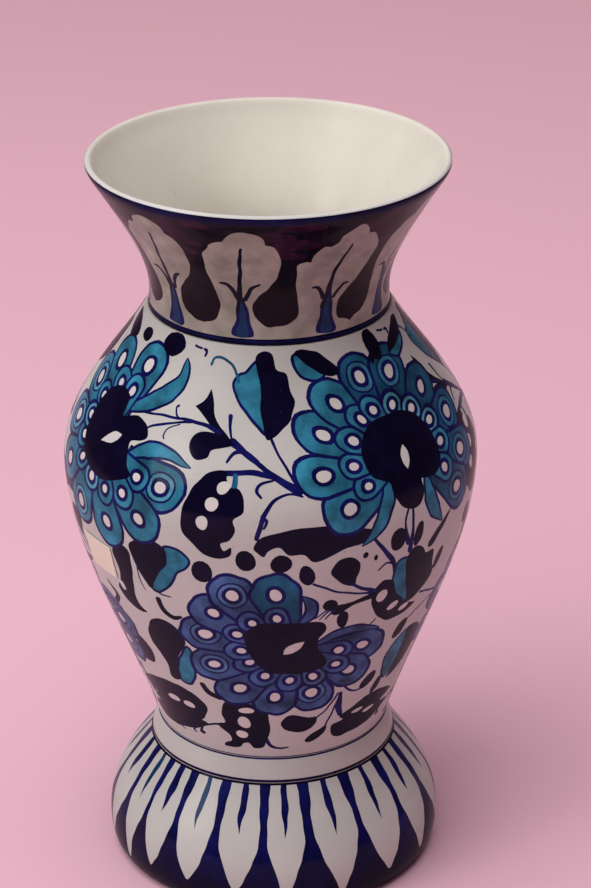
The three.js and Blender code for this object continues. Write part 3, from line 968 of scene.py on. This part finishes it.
def bare_clay():
    """Unglazed fired clay on the ring that the vase rests on."""
    n = Nodes("bare_clay")
    grain = n.noise(700, 5)
    clay = n.mix("MIX", n.ramp(grain, 0.35, 0.65), (0.42, 0.30, 0.20, 1), (0.60, 0.47, 0.34, 1))
    return n.shade({"Base Color": clay, "Roughness": n.ramp(grain, 0.3, 0.7, 0.75, 0.95),
                    "Normal": n.bump(grain, 0.5, 0.3 * MM)})


def paper():
    """Matt blank paper of the price label."""
    n = Nodes("label_paper")
    fibre = n.noise(1500, 4)
    pulp = n.mix("MIX", n.ramp(fibre, 0.35, 0.65), (0.72, 0.68, 0.52, 1), (0.82, 0.79, 0.66, 1))
    return n.shade({"Base Color": pulp, "Roughness": 0.75, "Normal": n.bump(fibre, 0.3, 0.1 * MM)})


# ---- pieces ---------------------------------------------------------------------------
def radius_from(places, low):
    """Radius at a height up the wall, for a run that starts at low."""
    heights = low + lengths(places)
    return lambda h: np.interp(h, heights, places[:, 0])


def section(node, name, low, painter, seed, finishes, inside="lit cream", clay_below=None):
    """One painted section of the vase, from its CAD node's outline; its other faces take the inside
    paint, by default a cream that is partly painted light.
    """
    (places, normals), others = outline(node)
    top = low + lengths(places)[-1]
    wall = Wall(radius_from(places, low), low, top, seed)
    painter(wall)
    shell = Shell()
    shell.paint(wall, places, normals)
    for run, out in others:
        on_ground = clay_below is not None and run[:, 1].max() < clay_below
        shell.lathe(run, out, inside, 1 if on_ground else 0)
    place_piece(shell.build(name, finishes), node)
    return top


def build_vase():
    """The sections from the table up, each starting up the wall from where the last one ends."""
    finishes = [glaze(), bare_clay()]
    top = section("foot_section", "foot", 0.0, paint_foot, 7, finishes,
                  clay_below=CLAY_BELOW)
    top = section("waist_collar", "collar", top + JOINT, paint_collar, 1, finishes)
    top = section("belly_section", "belly", top + JOINT, paint_belly, 3, finishes)
    section("neck_luting_ring", "slip_ring", top, paint_ring, 2, finishes,
            "cobalt")
    section("neck_section", "neck", top + JOINT, paint_neck, 5, finishes)


def price_label():
    """Blank paper label, in the CAD label's shape with its edges softened."""
    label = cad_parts["price_label"].copy()
    label.data = label.data.copy()
    label.name = "label"
    bpy.context.scene.collection.objects.link(label)
    sheet = bmesh.new()
    sheet.from_mesh(label.data)
    bmesh.ops.remove_doubles(sheet, verts=sheet.verts, dist=WELD * MM)
    sheet.to_mesh(label.data)
    sheet.free()
    label.data.materials.clear()
    label.data.materials.append(paper())
    edge = label.modifiers.new("edge", "BEVEL")
    edge.width, edge.segments = LABEL_EDGE * MM, 2
    place_piece(label, "price_label")


def stage():
    """Plain floor."""
    bpy.ops.mesh.primitive_plane_add(size=FLOOR_SIZE)
    floor = bpy.context.object
    floor.name = "floor"
    floor.data.materials.append(Nodes("floor").shade({"Base Color": FLOOR, "Roughness": 0.9}))


def light(name, place, size, power, mirrored):
    """Round soft lamp that points at the belly."""
    data = bpy.data.lights.new(name, "AREA")
    data.shape, data.size, data.energy = "DISK", size, power
    lamp = bpy.data.objects.new(name, data)
    lamp.visible_glossy = mirrored
    lamp.location = place
    lamp.rotation_euler = (Vector(LAMPS_AIM) - lamp.location).to_track_quat("-Z", "Y").to_euler()
    bpy.context.scene.collection.objects.link(lamp)


def air():
    """Even light from all round."""
    world = bpy.data.worlds.new("studio")
    world.use_nodes = True
    colour, strength = world.node_tree.nodes["Background"].inputs[:2]
    colour.default_value, strength.default_value = AIR, AIR_STRENGTH
    bpy.context.scene.world = world


def camera():
    """Camera at the photograph's viewing angle."""
    data = bpy.data.cameras.new("camera")
    data.lens = LENS
    cam = bpy.data.objects.new("camera", data)
    cam.location = CAMERA_AT
    tilt = Matrix.Rotation(math.pi / 2 - math.radians(CAMERA_DOWN), 3, "X")
    cam.rotation_euler = (tilt @ Matrix.Rotation(-math.radians(CAMERA_ROLL), 3, "Z")).to_euler()
    bpy.context.scene.collection.objects.link(cam)
    bpy.context.scene.camera = cam


camera()
build_vase()
price_label()
stage()
air()
for lamp, settings in LAMPS.items():
    light(lamp, *settings)
bpy.context.scene.view_settings.view_transform = "Standard"
